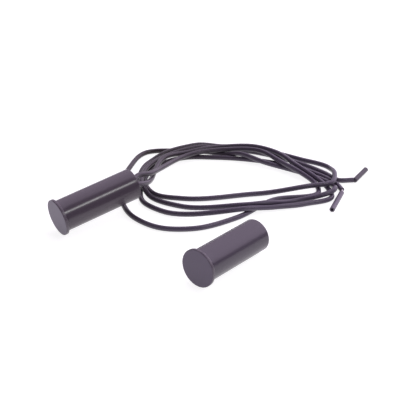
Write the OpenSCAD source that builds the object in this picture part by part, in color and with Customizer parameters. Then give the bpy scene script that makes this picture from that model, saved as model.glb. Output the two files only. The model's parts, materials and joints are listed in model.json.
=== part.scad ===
// Recessed magnetic door contact: a round reed switch with two loose leads, and its magnet unit.
// Millimetres. The floor is z = 0. The switch's axis runs along +X, from its flange to its lifted tail.

/* [Housings] */
// Outside diameter of both round housings, which press into a drilled hole
housing_d = 9.5; // [9.2:0.1:9.8]
// Length of the switch from the flange's face to the tail
switch_len = 25.9; // [25.5:0.1:27]
// Length of the magnet unit from the flange's face to the tail
magnet_len = 24.8; // [24:0.1:28]
// Diameter of the round flange at the front of each housing
flange_d = 11; // [10.6:0.1:12]
// Thickness of the flange
flange_t = 0.9; // [0.8:0.1:1.4]
// Rounding of the flange's front edge and of the tail's edge
edge_r = 0.2; // [0.1:0.05:0.3]
// Small fillet between the flange and the housing
fillet_r = 0.15; // [0.1:0.05:0.2]
// Thickness of the switch housing's side wall
wall_t = 1.15; // [1:0.05:1.2]
// Thickness of the closed front wall, flange included
front_t = 1.6; // [1.3:0.1:2]

/* [How the two units lie] */
// How far the switch's tail is tipped up by its leads, in degrees
switch_tilt = 7; // [6:0.5:8]
// Distance along X from the switch's flange to the magnet unit's flange
magnet_along = 17.5; // [10:0.5:25]
// Distance along Y from the switch's flange to the magnet unit's flange
magnet_aside = 45.2; // [42:0.1:55]
// Turn of the magnet unit on the floor, in degrees
magnet_turn = 13; // [0:1:20]

/* [Reed switch] */
// Outside diameter of the glass capsule
glass_d = 2.3; // [2.1:0.1:2.4]
// Length of the glass capsule
glass_len = 13; // [12.6:0.1:13.4]
// Wall of the glass capsule
glass_wall = 0.4; // [0.35:0.05:0.45]
// Diameter of the round end pins that are sealed in the glass
shank_d = 0.5; // [0.4:0.05:0.6]
// Width of each flat reed
blade_w = 0.9; // [0.7:0.1:1]
// Thickness of each flat reed
blade_t = 0.2; // [0.15:0.05:0.2]
// Free gap between the two reeds where they overlap
blade_gap = 0.1; // [0.08:0.01:0.14]
// Length over which the two reeds overlap
blade_overlap = 1.2; // [0.8:0.1:1.6]
// Distance between the two leads, and between the glass and the return wire
lead_pitch = 2.6; // [2.5:0.1:2.8]
// Thickness of the plate that links the glass's front pin to the return wire
link_t = 0.8; // [0.6:0.1:1]
// Outside diameter of the sleeve on the return wire
return_sleeve_d = 1.1; // [1:0.1:1.3]
// Outside diameter of the metal splices
splice_d = 1.1; // [1.1:0.05:1.3]
// Length of the metal splices
splice_len = 2; // [1.6:0.1:2.2]
// Outside diameter of the shrink sleeves on the splices
shrink_d = 1.7; // [1.6:0.1:2.1]
// Length of the collar that holds the glass and the return wire in the housing
carrier_len = 6; // [4:0.5:7]
// Depth of the potting that closes the switch's tail
potting_len = 4; // [3.6:0.1:4.2]

/* [Leads] */
// Outside diameter of each lead
wire_d = 1.6; // [1.3:0.1:1.6]
// Diameter of the conductor inside each lead
core_d = 0.75; // [0.6:0.05:0.8]
// Length of the loose stub of jacket on the end of the first lead
stub_a_len = 7.8; // [6:0.1:9]
// Length of the loose stub of jacket on the end of the second lead
stub_b_len = 11.4; // [8:0.1:13]
// How far the conductor stops short of the stub's open end
stub_empty = 1.5; // [1:0.1:2]

/* [Magnet] */
// Diameter of the magnet rod
magnet_d = 6.6; // [6:0.1:6.8]
// Length of the magnet rod
magnet_rod_len = 15; // [13:0.5:16]
// Length of the foam pad behind the magnet rod
pad_len = 2; // [1:0.5:4]
// Length of the plug that closes the magnet unit's tail
plug_len = 3; // [2:0.5:4]

/* [Clearances] */
// Play all round between the magnet rod and its housing's bore
magnet_play = 0.3; // [0.2:0.05:0.4]
// Clearance all round where a piece sits in a bore
seat_gap = 0.05; // [0.03:0.01:0.08]
// Clearance where a pin or a wire is sealed or soldered in place
seal_gap = 0.01; // [0.005:0.005:0.02]
// Gap between the root of a reed and the pin that it is fixed to
root_gap = 0.03; // [0.02:0.01:0.05]

/* [Hidden] */
$fn = 64;

housing_r = housing_d / 2;
flange_r = flange_d / 2;
bore_r = housing_r - wall_t;
magnet_bore_r = magnet_d / 2 + magnet_play;
glass_r = glass_d / 2;
cavity_r = glass_r - glass_wall;
shank_r = shank_d / 2;
wire_r = wire_d / 2;
core_r = core_d / 2;
// Half the width of the link plate, and how far a cut runs past a face.
link_r = shank_r + 0.45;
past = 1;

// Depths below are measured along a housing's axis from the flange's face.
// The room that the capsule, link, shrink sleeves and potting leave free is shared out between them.
shrink_len = splice_len + 0.4;
potting_z = switch_len - potting_len;
spare = potting_z - front_t - link_t - glass_len - shrink_len;
pin_front_z = front_t + 0.12 * spare;
link_z = pin_front_z + 0.08 * spare;
glass_z = link_z + link_t + 0.31 * spare;
glass_end_z = glass_z + glass_len;
shrink_z = glass_end_z + 0.39 * spare;
cavity_z = glass_z + 1.5;
cavity_end_z = glass_end_z - 1.5;
front_pin_end_z = cavity_z + 0.8;
rear_pin_z = cavity_end_z - 0.8;
front_root_z = front_pin_end_z + root_gap + blade_t / 2;
rear_root_z = rear_pin_z - root_gap - blade_t / 2;
blade_mid_z = (front_root_z + rear_root_z) / 2;
blade_offset = (blade_t + blade_gap) / 2;
splice_z = shrink_z + (shrink_len - splice_len) / 2;
splice_mid_z = splice_z + splice_len / 2;
carrier_z = (glass_z + glass_end_z - carrier_len) / 2;
jacket_z = switch_len - 0.75 * potting_len;

// Poses of the two units, with the origin at the bottom centre of the box around both.
magnet_tilt = atan((flange_r - housing_r) / (magnet_len - 2 * edge_r));
switch_axis = [cos(switch_tilt), 0, sin(switch_tilt)];
magnet_axis = [cos(magnet_tilt) * cos(magnet_turn), cos(magnet_tilt) * sin(magnet_turn), -sin(magnet_tilt)];
switch_high = (flange_r - edge_r) * cos(switch_tilt) + edge_r - edge_r * sin(switch_tilt);
magnet_high = (flange_r - edge_r) * cos(magnet_tilt) + edge_r + edge_r * sin(magnet_tilt);

// Reach of a rounded round edge of radius r along one axis, from the middle of the edge's circle.
function reach(r, share) = (r - edge_r) * sqrt(1 - share * share) + edge_r;
x_low = edge_r * switch_axis[0] - reach(flange_r, switch_axis[0]);
x_high = magnet_along + (magnet_len - edge_r) * magnet_axis[0] + reach(housing_r, magnet_axis[0]);
y_low = -magnet_aside + edge_r * magnet_axis[1] - reach(flange_r, magnet_axis[1]);
y_high = flange_r;
switch_at = [-(x_low + x_high) / 2, -(y_low + y_high) / 2, switch_high];
magnet_at = [switch_at[0] + magnet_along, switch_at[1] - magnet_aside, magnet_high];

// A point of the switch: depth along its axis, and distance aside along Y.
function in_switch(depth, aside) = switch_at + depth * switch_axis + [0, aside, 0];

// Routes of the leads over the floor: z is low on the floor and mid over one lead.
low = 0.8;
mid = 2.45;
route_a = [in_switch(jacket_z, lead_pitch / 2), in_switch(switch_len, lead_pitch / 2),
    [8.8, 26.2, 8.4], [14.2, 27.6, 7], [20.6, 31.6, 5], [36.6, 38.4, mid], [48.5, 34.6, mid],
    [56.6, 28.3, mid], [57.4, 14.5, 2.8], [58.6, 0, low], [56.2, -3.4, low], [42, 0.9, low],
    [26, -1.1, low], [12, 1.2, low], [4.2, 7.4, low], [1.3, 16.5, low], [6, 32, low], [16.6, 44.2, low],
    [27.6, 50.7, low], [37.4, 45.2, low], [47.6, 35, low], [50.6, 28.6, 2.6], [54.2, 21.2, 1.6],
    [60.8, 8.4, low], [62.6, -3, low], [59.6, -7, 2.6], [46, -3.1, low], [36, -0.9, mid],
    [30.6, 1.6, mid], [16.4, 14.2, low], [12, 23.6, 1], [12.6, 29.6, 2.3], [19.2, 38, 2.4],
    [31.9, 42.6, 2.3], [42.3, 41.2, mid], [50.2, 37.2, low], [64.6, 13, low], [66.2, 4.6, low],
    [66.6, -1, low], [70.6, -3.7, low]];
route_b = [in_switch(jacket_z, -lead_pitch / 2), in_switch(switch_len, -lead_pitch / 2),
    [10.4, 23.6, 6.6], [14.4, 27.4, 4.9], [19.8, 33.6, 3.6], [27, 39.4, 3.6], [37.7, 40.1, mid],
    [49.6, 36.4, mid], [57.8, 30.6, mid], [60.8, 23.6, mid], [60.2, 11.5, 2.6], [60, -4, low],
    [57.6, -8, low], [48, -6.5, low], [38.8, -3.2, 1.2], [29.2, -0.4, 2.5], [10, 15.4, low],
    [8.6, 23, low], [12.2, 30.5, low], [17, 38.2, low], [24.2, 44, low], [32.8, 44.6, 2.3],
    [42.2, 43.1, mid], [51.6, 39.2, low], [66, 17.5, low], [69.4, 6.6, 1.2], [66.2, 0.4, 2.5],
    [61.8, -3.2, 2.5], [55, -1, mid], [40, 7, low], [19.4, 18, low], [14.2, 24.6, low],
    [15.2, 32.2, low], [24.2, 40.2, low], [35, 40.4, low], [44.4, 34.2, low], [54.4, 24.2, low],
    [63, 9, low], [64.3, -3, low], [63.2, -6.5, low]];
// Bare conductor past each jacket: a kink, then the way into the stub.
kink_a = [71, -4, low];
stub_a_at = [71.2, -3.95, low];
stub_a_turn = 23;
kink_b = [62.8, -7.1, low];
stub_b_at = [62.3, -7.5, low];
stub_b_turn = 213;

function unit(v) = v / norm(v);
function step(p, i) = unit(p[i + 1] - p[i]);
function heading(p, i) = i == 0 ? step(p, 0) : i == len(p) - 1 ? step(p, i - 1)
    : unit(step(p, i - 1) + step(p, i));
function aside(t) = unit(cross([0, 0, 1], t));

// A round lead along a list of points, with eight sides and a flat one below.
module sweep(p, r) {
    sides = 8;
    n = len(p);
    rings = [for (i = [0 : n - 1]) let (t = heading(p, i), s = aside(t), u = cross(t, s))
        for (k = [0 : sides - 1]) let (a = (k + 0.5) * 360 / sides) p[i] + r * cos(a) * s + r * sin(a) * u];
    skin = [for (i = [0 : n - 2]) for (k = [0 : sides - 1]) let (m = (k + 1) % sides)
        [i * sides + k, (i + 1) * sides + k, (i + 1) * sides + m, i * sides + m]];
    front = [[for (k = [0 : sides - 1]) k]];
    back = [[for (k = [sides - 1 : -1 : 0]) (n - 1) * sides + k]];
    polyhedron(points = rings, faces = concat(front, skin, back), convexity = 10);
}

module on_switch(depth = 0, side = 0) {
    translate(switch_at) rotate([0, 90 - switch_tilt, 0]) translate([0, side, depth]) children();
}

module on_magnet(depth = 0) {
    translate(magnet_at) rotate([0, 90 + magnet_tilt, magnet_turn]) translate([0, 0, depth]) children();
}

// Quarter of a rounding in a profile, around c from angle a0 to a1.
function arc(c, r, a0, a1) = [for (i = [0 : 4]) let (a = a0 + (a1 - a0) * i / 4) c + r * [cos(a), sin(a)]];

// A closed round front with a flange, and a round wall open at the tail.
module housing(total, bore) {
    rotate_extrude() polygon(concat([[0, 0]],
        arc([flange_r - edge_r, edge_r], edge_r, -90, 0),
        [[flange_r, flange_t - 0.1], [flange_r - 0.1, flange_t]],
        arc([housing_r + fillet_r, flange_t + fillet_r], fillet_r, 270, 180),
        arc([housing_r - edge_r, total - edge_r], edge_r, 0, 90),
        [[bore, total], [bore, front_t], [0, front_t]]));
}

module tube(outer, inner, length) {
    difference() {
        cylinder(r = outer, h = length);
        translate([0, 0, -past]) cylinder(r = inner, h = length + 2 * past);
    }
}

module switch_housing() {
    color([0.31, 0.29, 0.32]) on_switch() housing(switch_len, bore_r);
}

module reed_glass() {
    color([0.72, 0.85, 0.78]) on_switch(0, -lead_pitch / 2) rotate_extrude() polygon([
        [shank_r + seal_gap, glass_z], [glass_r - 0.35, glass_z], [glass_r, glass_z + 0.6],
        [glass_r, glass_end_z - 0.6], [glass_r - 0.35, glass_end_z], [shank_r + seal_gap, glass_end_z],
        [shank_r + seal_gap, cavity_end_z], [cavity_r, cavity_end_z - 0.5], [cavity_r, cavity_z + 0.5],
        [shank_r + seal_gap, cavity_z]]);
}

module reed_front_pin() {
    color([0.75, 0.72, 0.66]) on_switch(pin_front_z, -lead_pitch / 2)
        cylinder(r = shank_r, h = front_pin_end_z - pin_front_z);
}

module reed_rear_pin() {
    color([0.75, 0.72, 0.66]) on_switch(rear_pin_z, -lead_pitch / 2)
        cylinder(r = shank_r, h = splice_mid_z - 0.1 - rear_pin_z);
}

// A flat reed with a round root, lying along +Z from its root.
module blade(length) {
    rotate([90, 0, 0]) cylinder(r = blade_t / 2, h = blade_w, center = true, $fn = 24);
    translate([-blade_t / 2, -blade_w / 2, 0]) cube([blade_t, blade_w, length]);
}

module reed_front_blade() {
    color([0.82, 0.68, 0.38]) on_switch(front_root_z, -lead_pitch / 2) translate([blade_offset, 0, 0])
        blade(blade_mid_z - front_root_z + blade_overlap / 2);
}

module reed_rear_blade() {
    color([0.82, 0.68, 0.38]) on_switch(rear_root_z, -lead_pitch / 2) translate([-blade_offset, 0, 0])
        rotate([180, 0, 0]) blade(rear_root_z - blade_mid_z + blade_overlap / 2);
}

module front_link() {
    color([0.8, 0.78, 0.72]) on_switch(link_z) difference() {
        translate([-link_r, -lead_pitch / 2 - link_r, 0])
            cube([2 * link_r, lead_pitch + 2 * link_r, link_t]);
        for (s = [-1, 1]) translate([0, s * lead_pitch / 2, -past])
            cylinder(r = shank_r + seal_gap, h = link_t + 2 * past);
    }
}

module return_wire() {
    color([0.8, 0.5, 0.3]) on_switch(pin_front_z, lead_pitch / 2)
        cylinder(r = shank_r, h = splice_mid_z - 0.1 - pin_front_z);
}

module return_sleeve() {
    color([0.85, 0.85, 0.8]) on_switch(glass_z, lead_pitch / 2)
        tube(return_sleeve_d / 2, shank_r + seal_gap, glass_len + 0.29 * spare);
}

// A splice holds a thin pin from the front and a thicker conductor from behind.
module splice() {
    half = splice_len / 2;
    difference() {
        cylinder(r = splice_d / 2, h = splice_len);
        translate([0, 0, -past]) cylinder(r = shank_r + seal_gap, h = half + past + 0.2);
        translate([0, 0, half]) cylinder(r = core_r + seal_gap, h = half + past);
    }
}

module splice_a() {
    color([0.78, 0.78, 0.8]) on_switch(splice_z, lead_pitch / 2) splice();
}

module splice_b() {
    color([0.78, 0.78, 0.8]) on_switch(splice_z, -lead_pitch / 2) splice();
}

module shrink_sleeve_a() {
    color([0.12, 0.12, 0.13]) on_switch(shrink_z, lead_pitch / 2)
        tube(shrink_d / 2, splice_d / 2 + seal_gap, shrink_len);
}

module shrink_sleeve_b() {
    color([0.12, 0.12, 0.13]) on_switch(shrink_z, -lead_pitch / 2)
        tube(shrink_d / 2, splice_d / 2 + seal_gap, shrink_len);
}

module reed_carrier() {
    color([0.2, 0.2, 0.22]) on_switch(carrier_z) difference() {
        cylinder(r = bore_r - seat_gap, h = carrier_len);
        translate([0, -lead_pitch / 2, -past])
            cylinder(r = glass_r + seal_gap, h = carrier_len + 2 * past);
        translate([0, lead_pitch / 2, -past])
            cylinder(r = return_sleeve_d / 2 + seal_gap, h = carrier_len + 2 * past);
    }
}

module switch_potting() {
    color([0.2, 0.18, 0.2]) on_switch(potting_z) difference() {
        cylinder(r = bore_r - seal_gap, h = potting_len);
        for (s = [-1, 1]) translate([0, s * lead_pitch / 2, 0]) {
            translate([0, 0, -past]) cylinder(r = core_r + seal_gap, h = potting_len + past);
            translate([0, 0, jacket_z - potting_z - seal_gap])
                cylinder(r = wire_r + seat_gap, h = potting_len);
        }
    }
}

module lead_a() {
    color([0.27, 0.24, 0.28]) sweep(route_a, wire_r);
}

module lead_b() {
    color([0.27, 0.24, 0.28]) sweep(route_b, wire_r);
}

module inner_core(side) {
    start = splice_mid_z + 0.1;
    on_switch(start, side) cylinder(r = core_r, h = jacket_z - start);
}

function turned(angle) = [cos(angle), sin(angle), 0];

module lead_a_core() {
    color([0.8, 0.55, 0.38]) {
        inner_core(lead_pitch / 2);
        sweep([route_a[len(route_a) - 1], kink_a, stub_a_at,
            stub_a_at + (stub_a_len - stub_empty) * turned(stub_a_turn)], core_r);
    }
}

module lead_b_core() {
    color([0.8, 0.55, 0.38]) {
        inner_core(-lead_pitch / 2);
        sweep([route_b[len(route_b) - 1], kink_b, stub_b_at,
            stub_b_at + (stub_b_len - stub_empty) * turned(stub_b_turn)], core_r);
    }
}

module stub(at, angle, length) {
    translate(at + 0.5 * turned(angle)) rotate([0, 90, angle]) tube(wire_r, core_r + seat_gap, length);
}

module lead_a_stub() {
    color([0.27, 0.24, 0.28]) stub(stub_a_at, stub_a_turn, stub_a_len);
}

module lead_b_stub() {
    color([0.27, 0.24, 0.28]) stub(stub_b_at, stub_b_turn, stub_b_len);
}

module magnet_housing() {
    color([0.31, 0.29, 0.32]) on_magnet() housing(magnet_len, magnet_bore_r);
}

module magnet() {
    color([0.6, 0.6, 0.62]) on_magnet(front_t + seat_gap) cylinder(r = magnet_d / 2, h = magnet_rod_len);
}

module magnet_pad() {
    color([0.35, 0.35, 0.37]) on_magnet(front_t + 2 * seat_gap + magnet_rod_len)
        cylinder(r = magnet_bore_r - seat_gap, h = pad_len);
}

module magnet_plug() {
    color([0.2, 0.18, 0.2]) on_magnet(magnet_len - plug_len)
        cylinder(r = magnet_bore_r - seal_gap, h = plug_len);
}

switch_housing();
reed_glass();
reed_front_pin();
reed_rear_pin();
reed_front_blade();
reed_rear_blade();
front_link();
return_wire();
return_sleeve();
splice_a();
splice_b();
shrink_sleeve_a();
shrink_sleeve_b();
reed_carrier();
switch_potting();
lead_a();
lead_b();
lead_a_core();
lead_b_core();
lead_a_stub();
lead_b_stub();
magnet_housing();
magnet();
magnet_pad();
magnet_plug();
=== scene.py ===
import json
import math
import bpy
import bmesh
from mathutils import Matrix, Vector


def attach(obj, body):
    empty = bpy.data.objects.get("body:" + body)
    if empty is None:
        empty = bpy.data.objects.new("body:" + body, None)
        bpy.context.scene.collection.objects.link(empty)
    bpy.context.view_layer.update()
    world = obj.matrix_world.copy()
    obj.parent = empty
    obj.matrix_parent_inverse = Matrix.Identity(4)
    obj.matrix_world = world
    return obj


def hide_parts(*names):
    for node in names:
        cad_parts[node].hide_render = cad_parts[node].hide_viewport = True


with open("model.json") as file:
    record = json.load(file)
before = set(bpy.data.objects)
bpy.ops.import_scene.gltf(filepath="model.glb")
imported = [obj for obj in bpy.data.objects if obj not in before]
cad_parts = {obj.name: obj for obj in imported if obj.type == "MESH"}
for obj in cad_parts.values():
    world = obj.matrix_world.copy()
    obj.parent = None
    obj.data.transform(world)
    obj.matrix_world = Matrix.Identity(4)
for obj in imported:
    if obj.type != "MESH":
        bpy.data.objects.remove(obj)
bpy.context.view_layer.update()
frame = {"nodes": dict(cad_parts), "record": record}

mm = 0.001
nodes = frame["nodes"]
mounts = {m["name"]: m for m in frame["record"]["mounts"]}


def place(x, y, z):
    return Vector((x, y, z)) * mm


def linkObject(name, data):
    made = bpy.data.objects.new(name, data)
    bpy.context.scene.collection.objects.link(made)
    return made


print("stage: camera")

cameraSetup = {
    "from": (-132.1, -204.9, 152.1),  # mm
    "to": (24.2, 15.1, 0.0),
    "lens": 90.5,
    "sensor": 36.0,
    "clip": (0.01, 10),               # m
}


def aim(thing, target):
    direction = target - thing.location
    thing.rotation_euler = direction.to_track_quat("-Z", "Y").to_euler()


camera = linkObject("camera", bpy.data.cameras.new("camera"))
camera.data.lens = cameraSetup["lens"]
camera.data.sensor_width = cameraSetup["sensor"]
camera.data.clip_start, camera.data.clip_end = cameraSetup["clip"]
camera.location = place(*cameraSetup["from"])
aim(camera, place(*cameraSetup["to"]))
bpy.context.scene.camera = camera

print("stage: units")

# both housings, in mm
housing = {
    "flangeRadius": 5.5,
    "flange": 0.9,      # thickness
    "edge": 0.2,        # rounding of the flange's front edge and of the tail's edge
    "rearEdge": 0.1,    # rounding of the flange's rear edge
    "fillet": 0.15,     # between flange and barrel
    "bore": 3.6,        # radius
    "lip": 0.05,        # chamfer at the bore's mouth
    "frontWall": 1.6,
    "segments": 160,
    "mark": 12.0,       # from the flange's face to the point that a barrel's mount gives
}


# a frame along an axis: depth along it, and across it level
class AxisFrame:
    def __init__(self, front, axis):
        self.front, self.axis = Vector(front), Vector(axis).normalized()
        self.side = Vector((0, 0, 1)).cross(self.axis).normalized()
        up = self.axis.cross(self.side).normalized()
        turn = Matrix((self.side, up, self.axis)).transposed().to_4x4()
        self.matrix = Matrix.Translation(self.front) @ turn

    def point(self, depth, across):
        return self.front + self.axis * depth * mm + self.side * across * mm


def frameOfMount(name):
    axis = Vector(mounts[name]["axis"]).normalized()
    return AxisFrame(Vector(mounts[name]["pos_m"]) - axis * housing["mark"] * mm, axis)


# from the flange's face to the tail: the mount gives only the plain barrel
def lengthOfUnit(name):
    return mounts[name]["dims"]["length_mm"] + housing["flange"] + housing["fillet"] + housing["edge"]


switchFrame, switchLength = frameOfMount("switch_barrel"), lengthOfUnit("switch_barrel")
magnetFrame, magnetLength = frameOfMount("magnet_barrel"), lengthOfUnit("magnet_barrel")

print("stage: leads")

# in mm
lead = {
    "diameter": 1.6,
    "pitch": 2.6,          # between the two leads where they leave the tail
    "potted": 3.0,         # how deep each lead starts inside the tail
    "tail": switchLength,
    "roundness": 5,        # bevel steps of the round section
    "smoothness": 12,      # steps between two points of the route
    "measure": 16,         # steps between two points when its length is measured
}
low, mid = 0.8, 2.45  # heights on the floor and over one lead

routeA = [
    (8.8, 26.2, 8.4), (14.2, 27.6, 7), (20.6, 31.6, 5), (36.6, 38.4, mid), (48.5, 34.6, mid),
    (56.6, 28.3, mid), (57.4, 14.5, 2.8), (58.6, 0, low), (56.2, -3.4, low), (42, 0.9, low), (26, -1.1, low),
    (12, 1.2, low), (4.2, 7.4, low), (1.3, 16.5, low), (6, 32, low), (16.6, 44.2, low), (27.6, 50.7, low),
    (37.4, 45.2, low), (47.6, 35, low), (50.6, 28.6, 2.6), (54.2, 21.2, 1.6), (60.8, 8.4, low),
    (62.6, -3, low), (59.6, -7, 2.6), (46, -3.1, low), (36, -0.9, mid), (30.6, 1.6, mid), (16.4, 14.2, low),
    (12, 23.6, 1), (12.6, 29.6, 2.3), (19.2, 38, 2.4), (31.9, 42.6, 2.3), (42.3, 41.2, mid),
    (50.2, 37.2, low), (64.6, 13, low), (66.2, 4.6, low), (66.6, -1, low), (70.6, -3.7, low)]
routeB = [
    (10.4, 23.6, 6.6), (14.4, 27.4, 4.9), (19.8, 33.6, 3.6), (27, 39.4, 3.6), (37.7, 40.1, mid),
    (49.6, 36.4, mid), (57.8, 30.6, mid), (60.8, 23.6, mid), (60.2, 11.5, 2.6), (60, -4, low),
    (57.6, -8, low), (48, -6.5, low), (38.8, -3.2, 1.2), (29.2, -0.4, 2.5), (10, 15.4, low), (8.6, 23, low),
    (12.2, 30.5, low), (17, 38.2, low), (24.2, 44, low), (32.8, 44.6, 2.3), (42.2, 43.1, mid),
    (51.6, 39.2, low), (66, 17.5, low), (69.4, 6.6, 1.2), (66.2, 0.4, 2.5), (61.8, -3.2, 2.5), (55, -1, mid),
    (40, 7, low), (19.4, 18, low), (14.2, 24.6, low), (15.2, 32.2, low), (24.2, 40.2, low), (35, 40.4, low),
    (44.4, 34.2, low), (54.4, 24.2, low), (63, 9, low), (64.3, -3, low), (63.2, -6.5, low)]


# direction of a smooth line at each point: level where a hump or a dip turns, so that nothing sinks or bulges
def headings(points):
    found = []
    last = len(points) - 1
    for i, here in enumerate(points):
        if i == 0 or i == last:
            way = points[min(i + 1, last)] - points[max(i - 1, 0)]
            found.append(way.normalized())
            continue
        before, after = here - points[i - 1], points[i + 1] - here
        a, b = before.length, after.length
        way = (before / a * b + after / b * a) / (a + b)
        climbIn, climbOut = before.z / a, after.z / b
        way.z = 0.0 if climbIn * climbOut <= 0 else 2 * climbIn * climbOut / (climbIn + climbOut)
        found.append(way)
    return found


# a smooth line through the points: (left handle, point, right handle) for each
def smoothKnots(points):
    knots = []
    for i, (here, way) in enumerate(zip(points, headings(points))):
        before = (here - points[i - 1]).length if i else (points[1] - points[0]).length
        after = (points[i + 1] - here).length if i < len(points) - 1 else before
        knots.append((here - way * before / 3, here, here + way * after / 3))
    return knots


# the same line as a row of points, count of them to each stretch
def sampled(points, count):
    knots = smoothKnots(points)
    line = [knots[0][1]]
    for (_, a, b), (c, d, _) in zip(knots, knots[1:]):
        for t in (k / count for k in range(1, count + 1)):
            line.append(a * (1 - t) ** 3 + b * 3 * t * (1 - t) ** 2 + c * 3 * t * t * (1 - t) + d * t ** 3)
    return line


def makeLead(name, route, across, node):
    start = [switchFrame.point(depth, across) for depth in (lead["tail"] - lead["potted"], lead["tail"])]
    points = start + [place(*p) for p in route]
    data = bpy.data.curves.new(name, "CURVE")
    data.dimensions = "3D"
    data.resolution_u = lead["smoothness"]
    data.bevel_depth = 1.0  # times the radius of each point
    data.bevel_resolution = lead["roundness"]
    data.use_fill_caps = True
    data.twist_mode = "Z_UP"
    line = data.splines.new("BEZIER")
    line.bezier_points.add(len(points) - 1)
    for knot, (left, here, right) in zip(line.bezier_points, smoothKnots(points)):
        knot.co = here
        knot.handle_left_type = knot.handle_right_type = "FREE"
        knot.handle_left, knot.handle_right = left, right
        knot.radius = lead["diameter"] / 2 * mm
    path = sampled(points, lead["measure"])
    length = sum((b - a).length for a, b in zip(path, path[1:]))
    made = linkObject(name, data)
    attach(made, "switch")
    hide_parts(node)
    print(name, "is", round(length / mm, 1), "mm long")
    return made, length


sideA, sideB = lead["pitch"] / 2, -lead["pitch"] / 2
leadA, lengthA = makeLead("leadA", routeA, sideA, "lead_a")
leadB, lengthB = makeLead("leadB", routeB, sideB, "lead_b")

print("stage: materials")


# a socket that takes part in Python expressions
class Value:
    def __init__(self, graph, socket):
        self.graph, self.socket = graph, socket

    def combine(self, operation, a, b):
        return self.graph.add("ShaderNodeMath", {"operation": operation}, {0: a, 1: b})

    def __add__(self, other): return self.combine("ADD", self, other)
    def __radd__(self, other): return self.combine("ADD", other, self)
    def __sub__(self, other): return self.combine("SUBTRACT", self, other)
    def __rsub__(self, other): return self.combine("SUBTRACT", other, self)
    def __mul__(self, other): return self.combine("MULTIPLY", self, other)
    def __rmul__(self, other): return self.combine("MULTIPLY", other, self)
    def __pow__(self, other): return self.combine("POWER", self, other)


# the nodes of one material or of the sky
class Graph:
    def __init__(self, tree, coordinates):
        self.tree = tree
        self.local = self.add("ShaderNodeTexCoord", {}, {}, coordinates)

    def add(self, kind, settings, inputs, out=0):
        node = self.tree.nodes.new(kind)
        for key, value in settings.items():
            setattr(node, key, value)
        for key, value in inputs.items():
            self.feed(node.inputs[key], value)
        return Value(self, node.outputs[out])

    def feed(self, socket, value):
        if isinstance(value, Value):
            self.tree.links.new(value.socket, socket)
        else:
            socket.default_value = value

    # scale is in waves per metre
    def noise(self, scale, detail=3.0, roughness=0.5, stretch=(1, 1, 1)):
        spread = self.add("ShaderNodeMapping", {"vector_type": "POINT"}, {"Vector": self.local, "Scale": stretch})
        return self.add("ShaderNodeTexNoise", {},
                        {"Vector": spread, "Scale": scale, "Detail": detail, "Roughness": roughness})

    # 0 at low, 1 at high, smooth between
    def rise(self, value, low, high):
        return self.add("ShaderNodeMapRange", {"interpolation_type": "SMOOTHSTEP"},
                        {"Value": value, "From Min": low, "From Max": high})

    def along(self, axis):
        return self.add("ShaderNodeSeparateXYZ", {}, {0: self.local}, axis)

    # the Mix node's colour sockets are inputs 6 and 7 and output 2
    def mix(self, share, a, b):
        one, two = [v if isinstance(v, Value) else (*v, 1) for v in (a, b)]
        return self.add("ShaderNodeMix", {"data_type": "RGBA"}, {0: share, 6: one, 7: two}, 2)

    # depth in mm
    def bump(self, height, depth, strength=1.0):
        return self.add("ShaderNodeBump", {}, {"Height": height, "Distance": depth * mm, "Strength": strength})


class Finish(Graph):
    def __init__(self, name, **constants):
        self.material = bpy.data.materials.new(name)
        self.material.use_nodes = True
        super().__init__(self.material.node_tree, "Object")
        self.shader = self.tree.nodes["Principled BSDF"]
        for key, value in constants.items():
            self.shader.inputs[key.replace("_", " ")].default_value = value

    def surface(self, **links):
        for key, value in links.items():
            self.feed(self.shader.inputs[key.replace("_", " ")], value)
        return self.material


def shade(colour, factor):
    return tuple(c * factor for c in colour)


housingLook = {
    "colour": (0.062, 0.048, 0.064),
    "face": (0.090, 0.068, 0.113),   # the flange's face, painted lighter for the light falling on it from the left
    "faceReach": (0.02, 0.12),       # mm of depth over which its look fades out
    "worn": (0.105, 0.088, 0.108),   # the flange's rubbed edge
    "wornReach": (0.28, 0.06),       # mm from the edge where the rubbing begins and is full
    "roughness": 0.25,
    "faceRoughness": 0.42,           # the face is duller than the barrel
    "grain": 9000.0,
    "grainDepth": 0.004,             # mm
}
# painted shade: the same plastic as the switch's, darker against the stronger light on its right, and a little bluer
shadedMagnetLook = {**housingLook, "colour": (0.056, 0.045, 0.064)}


# moulded plastic: duller flange face in painted light, rubbed edges, fine lengthwise rubs and soft finger marks
def housingFinish(name, look):
    finish = Finish(name, Specular_IOR_Level=0.5)
    x, y, z = finish.along("X"), finish.along("Y"), finish.along("Z")
    radius = (x * x + y * y) ** 0.5
    face = 1 - finish.rise(z, *[depth * mm for depth in look["faceReach"]])
    rim = finish.rise(radius, *[(housing["flangeRadius"] - inside) * mm for inside in look["wornReach"]])
    cloud = finish.noise(140, 4, 0.55)
    grain = finish.noise(look["grain"], 2, 0.6)
    rub = finish.rise(finish.noise(2600, 3, 0.7, (1, 1, 0.08)), 0.60, 0.78) * (1 - face)
    mark = finish.rise(finish.noise(120, 3, 0.6), 0.45, 0.75)
    chafe = finish.rise(finish.noise(900, 4, 0.7), 0.40, 0.62)
    colour = finish.mix(cloud, shade(look["colour"], 0.96), shade(look["colour"], 1.04))
    # painted light: the flange's face takes the lighter face colour
    colour = finish.mix(face, colour, look["face"])
    colour = finish.mix(rub * 0.2, colour, shade(look["colour"], 1.4))
    colour = finish.mix(rim * (0.35 + chafe * 0.5), colour, look["worn"])
    roughness = look["roughness"] + face * (look["faceRoughness"] - look["roughness"])
    return finish.surface(Base_Color=colour,
                          Roughness=roughness + mark * 0.03 + grain * 0.04 + rim * chafe * 0.12 - 0.03,
                          Normal=finish.bump(grain * 0.5 + rub * 0.4 + face * grain, look["grainDepth"], 0.6))


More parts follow.
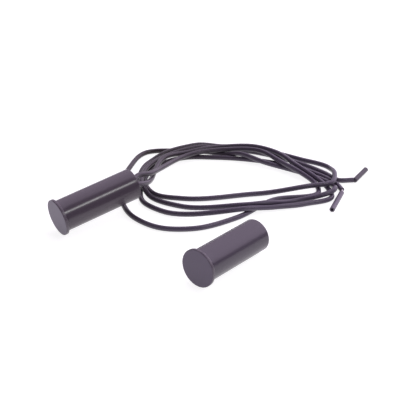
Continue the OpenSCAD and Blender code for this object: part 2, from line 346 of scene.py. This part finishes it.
jacketLook = {
    "deep": (0.030, 0.022, 0.025),   # painted shade: darker at the back left
    "pale": (0.086, 0.071, 0.104),   # painted light: paler at the front and right, and all along a stub
    "way": (0.41, -1.15),            # x and y of the direction in which the painted light grows
    "reach": (-0.045, 0.012),        # m along that direction
    "dust": (0.09, 0.078, 0.10),
    "roughness": 0.30,
}
# the two stubs wear the same jacket: stub A painted darker in shade, stub B painted paler in light
shadedStubLook = {**jacketLook, "pale": (0.046, 0.038, 0.054)}
litStubLook = {**jacketLook, "pale": (0.115, 0.096, 0.134)}


# soft extruded jacket: fine draw marks, slight unevenness and a little dust; painted shade and painted light
def jacketFinish(name, look):
    finish = Finish(name, Specular_IOR_Level=0.38)
    cloud = finish.noise(90, 3, 0.5)
    grain = finish.noise(5200, 2, 0.6)
    uneven = finish.noise(420, 2, 0.5)
    dust = finish.rise(finish.noise(1500, 4, 0.75), 0.60, 0.80)
    gone = finish.along("X") * look["way"][0] + finish.along("Y") * look["way"][1]
    # painted shade at the back left fading into painted light at the front and right, not the jacket's own colour
    paintedLightShare = finish.rise(gone + cloud * 0.008, *look["reach"])
    colour = finish.mix(paintedLightShare, look["deep"], look["pale"])
    # dust, shown only where the colour is painted light
    colour = finish.mix(dust * paintedLightShare * 0.5, colour, look["dust"])
    return finish.surface(Base_Color=colour, Roughness=look["roughness"] + cloud * 0.1 + dust * 0.2 - 0.05,
                          Normal=finish.bump(grain * 0.4 + uneven, 0.016, 0.5))


# drawn or ground metal, its marks drawn out by stretch
def metalFinish(name, colour, roughness, stretch):
    finish = Finish(name, Metallic=1.0)
    drawn = finish.noise(4000, 3, 0.6, stretch)
    tint = finish.mix(drawn, shade(colour, 0.78), shade(colour, 1.1))
    return finish.surface(Base_Color=tint, Roughness=roughness + drawn * 0.2 - 0.1,
                          Normal=finish.bump(drawn, 0.008, 0.5))


# rubber, foam and plain moulded plastic, with a grain of the given scale and depth in mm
def rubberFinish(name, colour, roughness, scale, depth):
    finish = Finish(name)
    grain = finish.noise(scale, 4, 0.6)
    tint = finish.mix(grain, shade(colour, 0.75), shade(colour, 1.25))
    return finish.surface(Base_Color=tint, Roughness=roughness + grain * 0.1 - 0.05,
                          Normal=finish.bump(grain, depth))


# cast resin: glossy, with small bubbles and a dull bloom in places
def resinFinish(name, colour):
    finish = Finish(name, Specular_IOR_Level=0.5)
    bloom = finish.noise(330, 3, 0.6)
    cell = finish.add("ShaderNodeTexVoronoi", {}, {"Vector": finish.local, "Scale": 1500.0})
    bubble = 1 - finish.rise(cell, 0.10, 0.22)
    tint = finish.mix(bloom, shade(colour, 0.8), shade(colour, 1.3))
    return finish.surface(Base_Color=finish.mix(bubble * 0.5, tint, shade(colour, 0.4)),
                          Roughness=0.16 + finish.rise(bloom, 0.5, 0.7) * 0.25,
                          Normal=finish.bump(bloom * 0.3 - bubble, 0.04, 0.6))


def glassFinish(name):
    finish = Finish(name, Transmission_Weight=0.9, IOR=1.5)
    haze = finish.noise(700, 2, 0.5)
    return finish.surface(Base_Color=finish.mix(haze, (0.78, 0.92, 0.84), (0.9, 0.97, 0.93)),
                          Roughness=0.03 + haze * 0.05)


materials = {
    "switchPlastic": housingFinish("switchPlastic", housingLook),
    "magnetPlastic": housingFinish("magnetPlastic", shadedMagnetLook),
    "jacket": jacketFinish("jacket", jacketLook),
    "jacketDark": jacketFinish("jacketDark", shadedStubLook),
    "jacketPale": jacketFinish("jacketPale", litStubLook),
    "copper": metalFinish("copper", (0.86, 0.50, 0.34), 0.3, (1, 1, 0.1)),
    "tin": metalFinish("tin", (0.74, 0.73, 0.71), 0.35, (1, 1, 0.2)),
    "nickelIron": metalFinish("nickelIron", (0.62, 0.58, 0.54), 0.32, (0.1, 1, 1)),
    "platedReed": metalFinish("platedReed", (0.86, 0.72, 0.46), 0.22, (0.1, 1, 1)),
    "magnetMetal": metalFinish("magnetMetal", (0.42, 0.42, 0.43), 0.45, (0.2, 1, 1)),
    "glass": glassFinish("glass"),
    "paleSleeve": rubberFinish("paleSleeve", (0.70, 0.70, 0.66), 0.55, 1500, 0.01),
    "shrink": rubberFinish("shrink", (0.022, 0.022, 0.025), 0.42, 2200, 0.01),
    "carrier": rubberFinish("carrier", (0.045, 0.045, 0.05), 0.7, 1800, 0.02),
    "resin": resinFinish("resin", (0.022, 0.018, 0.023)),
    "plug": rubberFinish("plug", (0.040, 0.032, 0.041), 0.45, 1600, 0.01),
    "foam": rubberFinish("foam", (0.09, 0.09, 0.095), 0.9, 3500, 0.15),
}


def paint(thing, name):
    thing.data.materials.clear()
    thing.data.materials.append(materials[name])


# rides on its body, stands for its node and takes its finish
def settle(made, body, node, material):
    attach(made, body)
    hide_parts(node)
    paint(made, material)
    return made


for made in (leadA, leadB):
    paint(made, "jacket")

print("stage: housings")


def arc(cx, cy, r, a0, a1, count=8):
    turns = [math.radians(a0 + (a1 - a0) * i / count) for i in range(count + 1)]
    return [(cx + r * math.cos(a), cy + r * math.sin(a)) for a in turns]


# smooth shaded, but for edges sharper than the given angle
def finishMesh(name, form, where, sharp=40):
    bmesh.ops.recalc_face_normals(form, faces=form.faces)
    data = bpy.data.meshes.new(name)
    form.to_mesh(data)
    form.free()
    for face in data.polygons:
        face.use_smooth = True
    data.set_sharp_from_angle(angle=math.radians(sharp))
    made = linkObject(name, data)
    if where:
        made.matrix_world = where.matrix
    return made


# a turned form around the frame's axis: profile points are (radius, depth) in mm, and lift raises a point of it
def turned(name, profile, where, segments, lift=None):
    form = bmesh.new()
    rings = []
    for r, z in profile:
        if r == 0:
            rings.append([form.verts.new((0, 0, z * mm))])
            continue
        rings.append([form.verts.new((r * math.cos(a) * mm, r * math.sin(a) * mm, z * mm))
                      for a in (2 * math.pi * i / segments for i in range(segments))])
    for one, two in zip(rings, rings[1:]):
        for i in range(segments):
            j = (i + 1) % segments
            if len(one) == 1:
                form.faces.new((one[0], two[j], two[i]))
            elif len(two) == 1:
                form.faces.new((one[i], one[j], two[0]))
            else:
                form.faces.new((one[i], one[j], two[j], two[i]))
    bmesh.ops.remove_doubles(form, verts=form.verts, dist=1e-8)  # joins a profile that ends where it began
    if lift:
        for point in form.verts:
            point.co.z += lift(point.co.x / mm, point.co.y / mm, point.co.z / mm) * mm
    return finishMesh(name, form, where)


def makeHousing(name, where, total, mount, body, node, material):
    flangeRadius, flange, edge = housing["flangeRadius"], housing["flange"], housing["edge"]
    rearEdge, fillet, bore, lip = housing["rearEdge"], housing["fillet"], housing["bore"], housing["lip"]
    radius = mounts[mount]["dims"]["r_mm"]
    # the rings on flat and straight stretches are for even shading
    profile = [(0, 0), (1.5, 0), (flangeRadius - edge - 0.3, 0)]
    profile += arc(flangeRadius - edge, edge, edge, -90, 0)
    profile += arc(flangeRadius - rearEdge, flange - rearEdge, rearEdge, 0, 90, 4)
    profile += arc(radius + fillet, flange + fillet, fillet, 270, 180)
    profile += [(radius, z) for z in (3.0, total * 0.5, total - 1.0)]
    profile += arc(radius - edge, total - edge, edge, 0, 90)
    profile += [(bore + lip, total), (bore, total - lip), (bore, housing["frontWall"]), (0, housing["frontWall"])]
    return settle(turned(name, profile, where, housing["segments"]), body, node, material)


makeHousing("switchHousing", switchFrame, switchLength, "switch_barrel", "switch", "switch_housing", "switchPlastic")
makeHousing("magnetHousing", magnetFrame, magnetLength, "magnet_barrel", "magnet_unit", "magnet_housing",
            "magnetPlastic")

print("stage: resin and plug")

# in mm
resin = {
    "bottom": 21.9,
    "level": 25.66,        # the cured surface, a little below the rim
    "highest": 25.88,      # no part of it stands above this
    "climb": 0.2,          # how far it climbs up the wall
    "climbReach": 0.3,     # over about this far from the wall
    "collar": 0.18,        # how far it climbs up each lead
    "collarReach": 0.22,
    "sag": 0.08,           # how far it has shrunk in the middle
    "play": 0.01,          # inside the bore, for the plug too
    "rings": 30,
    "segments": 120,
}


def resinLift(x, y, z):
    if z < resin["level"] - 0.01:  # only the surface is lifted
        return 0.0
    r, bore = math.hypot(x, y), housing["bore"]
    lift = resin["climb"] * math.exp((r - bore) / resin["climbReach"]) - resin["sag"] * (1 - (r / bore) ** 2)
    for across in (sideA, sideB):
        gap = max(math.hypot(x - across, y) - lead["diameter"] / 2, 0)
        lift += resin["collar"] * math.exp(-gap / resin["collarReach"])
    return min(lift, resin["highest"] - resin["level"])


fillRadius = housing["bore"] - resin["play"]
resinProfile = [(0, resin["bottom"]), (fillRadius, resin["bottom"])]
resinProfile += [(fillRadius * k / resin["rings"], resin["level"]) for k in range(resin["rings"], -1, -1)]
settle(turned("tailResin", resinProfile, switchFrame, resin["segments"], resinLift),
       "switch", "switch_potting", "resin")

# in mm
plug = {
    "bottom": 21.8,
    "edge": 0.2,
    "dimple": 1.1,         # radius
    "dimpleDepth": 0.12,
    "dimpleEdge": 0.15,    # width of its rounded edge
    "segments": 120,
}
plugTop, dimpleFloor = magnetLength, magnetLength - plug["dimpleDepth"]
plugProfile = [(0, plug["bottom"]), (fillRadius, plug["bottom"])]
plugProfile += arc(fillRadius - plug["edge"], plugTop - plug["edge"], plug["edge"], 0, 90, 6)
plugProfile += [(plug["dimple"] + plug["dimpleEdge"], plugTop), (plug["dimple"] + 0.05, plugTop - 0.03),
                (plug["dimple"], dimpleFloor), (0, dimpleFloor)]
settle(turned("magnetPlug", plugProfile, magnetFrame, plug["segments"]),
       "magnet_unit", "magnet_plug", "plug")

print("stage: lead ends")

# each end: kink of the bare conductor, where the loose stub of jacket starts, its turn in degrees and its length;
# a joined stub closes the kink, and look is its jacket, painted darker in shade or paler in light
ends = {
    "A": {"kink": (71, -4, low), "at": (71.2, -3.95, low), "turn": 23, "length": 7.8,
          "joined": True, "look": "jacketDark"},
    "B": {"kink": (62.8, -7.1, low), "at": (62.3, -7.5, low), "turn": 213, "length": 11.4,
          "joined": False, "look": "jacketPale"},
}
# in mm
stub = {
    "bore": 0.42,          # radius
    "cut": 0.04,           # chamfer at the cut end near the kink
    "bottom": 0.1,         # where the profile closes: the bottom of the bore in a joined stub
    "empty": 1.5,          # stretch without conductor at the far end
    "gap": 0.5,            # of bare conductor before the stub
    "bend": 0.75,          # from the stub's start back to the middle of a closed kink
    "edge": 0.1,           # rounding of the far end
    "bulge": 0.015,        # how far the cutter has pressed the far end out
    "segments": 40,
}
core = {
    "strand": 0.12,        # radius of a strand
    "around": 6,           # strands around the middle one
    "spread": 0.245,       # from the middle strand to the others
    "pitch": 7.0,          # length of one twist
    "sides": 8,
    "steps": 14,           # between two points of its path
    "start": 20.39,        # depth in the switch where it begins
    "knee": 21.8,          # and of the next point
    "overlap": 0.2,        # how far it runs into the lead's jacket
}


def makeStub(name, end, node):
    heading = Vector((math.cos(math.radians(end["turn"])), math.sin(math.radians(end["turn"])), 0))
    where = AxisFrame(place(*end["at"]) + heading * stub["gap"] * mm, heading)
    r, bore, cut, edge, total = lead["diameter"] / 2, stub["bore"], stub["cut"], stub["edge"], end["length"]
    if end["joined"]:
        profile = [(0, -stub["bend"] - r)] + arc(0, -stub["bend"], r, -80, 0)
    else:
        profile = [(bore, stub["bottom"]), (bore, 0.03), (bore + 0.05, 0), (r - cut, 0), (r, cut)]
    profile += [(r, total * 0.3), (r, total * 0.6), (r, total - 0.6), (r + stub["bulge"], total - 0.25)]
    profile += arc(r - edge + 0.01, total - edge, edge, 0, 80, 6)
    profile += [(bore + 0.1, total - 0.01), (bore + 0.02, total - 0.08), (bore, total - 0.3)]
    profile += [(bore, total - stub["empty"] - 0.3), (bore, stub["bottom"])]
    if end["joined"]:
        profile.append((0, stub["bottom"]))
    made = turned(name, profile, where, stub["segments"])
    return settle(made, "switch", node, end["look"]), heading


# fine strands, all but one twisted round the middle one, along each path
def makeCore(name, paths, node):
    form = bmesh.new()
    sides = core["sides"]
    for line in (sampled(path, core["steps"]) for path in paths):
        for number in range(core["around"] + 1):
            spread = 0 if number == core["around"] else core["spread"]
            before, gone = None, 0.0
            for i, here in enumerate(line):
                way = (line[min(i + 1, len(line) - 1)] - line[max(i - 1, 0)]).normalized()
                gone += (here - line[i - 1]).length / mm if i else 0
                side = Vector((0, 0, 1)).cross(way).normalized()
                up = way.cross(side)
                turn = (number / core["around"] + gone / core["pitch"]) * 2 * math.pi
                middle = here + (side * math.cos(turn) + up * math.sin(turn)) * spread * mm
                ring = [form.verts.new(middle + (side * math.cos(a) + up * math.sin(a)) * core["strand"] * mm)
                        for a in (2 * math.pi * k / sides for k in range(sides))]
                if before:
                    for k in range(sides):
                        form.faces.new((before[k], before[(k + 1) % sides], ring[(k + 1) % sides], ring[k]))
                else:
                    form.faces.new(ring[::-1])
                before = ring
            form.faces.new(before)
    return settle(finishMesh(name, form, None), "switch", node, "tin")


# the stub of a lead's end, and its conductor both in the tail and at that end
def dressEnd(letter, route, across):
    end, tag = ends[letter], letter.lower()
    stubPiece, heading = makeStub("stub" + letter, end, "lead_" + tag + "_stub")
    last = place(*end["at"]) + heading * (end["length"] - stub["empty"]) * mm
    potted = lead["tail"] - lead["potted"] + core["overlap"]
    inner = [switchFrame.point(depth, across) for depth in (core["start"], core["knee"], potted)]
    outer = [place(*route[-1]), place(*end["kink"]), place(*end["at"]), (place(*end["at"]) + last) / 2, last]
    outer[0] = outer[0] + (place(*route[-2]) - outer[0]).normalized() * core["overlap"] * mm
    return [stubPiece, makeCore("strands" + letter, [inner, outer], "lead_" + tag + "_core")]


onLeadA = dressEnd("A", routeA, sideA)
onLeadB = dressEnd("B", routeB, sideB)

print("stage: inner pieces")

innerLooks = {
    "reed_glass": "glass", "reed_front_pin": "nickelIron", "reed_rear_pin": "nickelIron",
    "reed_front_blade": "platedReed", "reed_rear_blade": "platedReed", "front_link": "tin",
    "return_wire": "copper", "return_sleeve": "paleSleeve", "splice_a": "tin", "splice_b": "tin",
    "shrink_sleeve_a": "shrink", "shrink_sleeve_b": "shrink", "reed_carrier": "carrier",
    "magnet": "magnetMetal", "magnet_pad": "foam",
}
for name, look in innerLooks.items():
    paint(nodes[name], look)

def declareCord(across):
    switchFrame.point(lead["tail"], across)
    lead["diameter"] * mm


declareCord(sideA)
declareCord(sideB)

print("stage: floor and light")

floorSetup = {
    "reach": 2500,          # mm from its middle to each side
    "sunk": 0.1,            # mm below the part
    "paper": 0.45,          # how much light it sends back
    "glow": 0.85,           # light coming up through it
}

reach, level = floorSetup["reach"], -floorSetup["sunk"]
corners = [place(x, y, level) for x, y in ((-reach, -reach), (reach, -reach), (reach, reach), (-reach, reach))]
floorMesh = bpy.data.meshes.new("floor")
floorMesh.from_pydata(corners, [], [(0, 1, 2, 3)])
floor = linkObject("floor", floorMesh)
paper = Finish("paper", Specular_IOR_Level=0.1, Emission_Color=(1, 1, 1, 1), Emission_Strength=floorSetup["glow"])
fibre = paper.noise(60, 3, 0.5)
floor.data.materials.append(paper.surface(
    Base_Color=paper.mix(fibre, [floorSetup["paper"] - 0.01] * 3, [floorSetup["paper"]] * 3),
    Roughness=0.8 + fibre * 0.05))

# brightness over directions: x is to the right of the part, y behind it and z above it
studio = {
    "tint": (1.0, 0.86, 1.08),
    "dim": 0.16,                    # everywhere, before the rest is added
    "wall": (0.807, 0.581, 0.106),  # direction of a pale wall
    "wallEdge": (0.12, 0.25),       # where its light fades in around that direction
    "wallSide": (-0.05, 0.25),      # and along x
    "low": 0.3,                     # its brightness at the floor
    "gain": 1.65,                   # what it gains upwards
    "gainReach": (-0.1, 1.1),
    "right": 1.1,                   # and what it gains to the right
    "rightReach": (0.60, 0.92),
    "front": (0.25, 0.45),          # in front it is cut off, over this span of -y
    "frontTop": (0.20, 0.36),       # and up to this height
    "left": 0.15,                   # soft light on the left
    "leftReach": (0.45, 0.85),
}

world = bpy.data.worlds.new("sky")
bpy.context.scene.world = world
world.use_nodes = True
sky = Graph(world.node_tree, "Generated")
towards = sky.add("ShaderNodeVectorMath", {"operation": "DOT_PRODUCT"}, {0: sky.local, 1: studio["wall"]}, "Value")
across, aside, height = sky.along("X"), sky.along("Y"), sky.along("Z")
strip = sky.rise(-1 * aside, *studio["front"]) * (1 - sky.rise(height, *studio["frontTop"]))
rising = studio["low"] + sky.rise(height, *studio["gainReach"]) * studio["gain"]
rising += sky.rise(across, *studio["rightReach"]) * studio["right"]
wall = sky.rise(towards, *studio["wallEdge"]) * sky.rise(across, *studio["wallSide"]) * (1 - strip) * rising
left = sky.rise(-1 * across, *studio["leftReach"]) * studio["left"]
background = world.node_tree.nodes["Background"]
background.inputs["Color"].default_value = (*studio["tint"], 1)
sky.feed(background.inputs["Strength"], studio["dim"] + wall + left)

# a small lamp whose mirror image is the pale streak along the switch
lampSetup = {
    "at": (102, -252, 280),         # mm
    "to": (-8, 22, 8),
    "size": (70, 46),               # mm
    "watts": 0.20,
}
lamp = linkObject("strip", bpy.data.lights.new("strip", "AREA"))
lamp.data.shape = "RECTANGLE"
lamp.data.size, lamp.data.size_y = [side * mm for side in lampSetup["size"]]
lamp.data.energy = lampSetup["watts"]
lamp.location = place(*lampSetup["at"])
aim(lamp, place(*lampSetup["to"]))

bpy.context.scene.view_settings.view_transform = "Standard"

print("stage: done")
